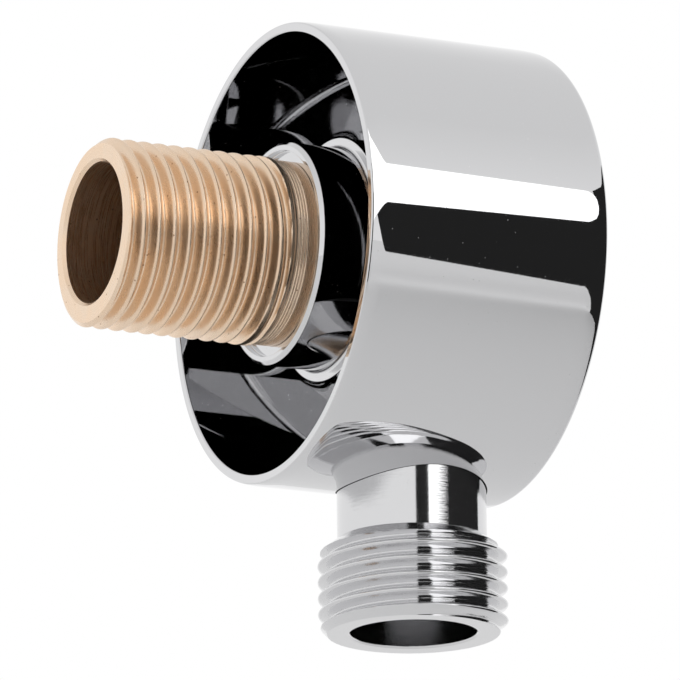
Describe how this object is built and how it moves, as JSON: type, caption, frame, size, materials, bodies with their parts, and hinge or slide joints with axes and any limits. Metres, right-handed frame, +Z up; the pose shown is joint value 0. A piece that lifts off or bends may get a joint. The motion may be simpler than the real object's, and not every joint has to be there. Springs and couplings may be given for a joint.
{
  "type": "wall outlet elbow",
  "caption": "Round chrome elbow for a shower hose: a hollow drum with a brass thread into the wall and a threaded outlet pointing down.",
  "frame": {"origin": "on the axis of the wall nipple, in the plane where the drum's rim meets the wall", "axes": "+Y runs along the nipple into the wall, +Z is up, and the hose outlet points along -Z"},
  "size_m": [0.0516, 0.0503, 0.0674],
  "materials": {
    "chrome": "polished",
    "spigot_chrome": "polished, with turning marks",
    "raw_brass": "turned, unplated",
    "gasket_rubber": "matt"
  },
  "bodies": {
    "root": {"drum_body": "chrome", "wall_nipple": "raw_brass", "nipple_gasket": "gasket_rubber", "outlet_spigot": "spigot_chrome", "outlet_gasket": "gasket_rubber"}
  },
  "joints": []
}
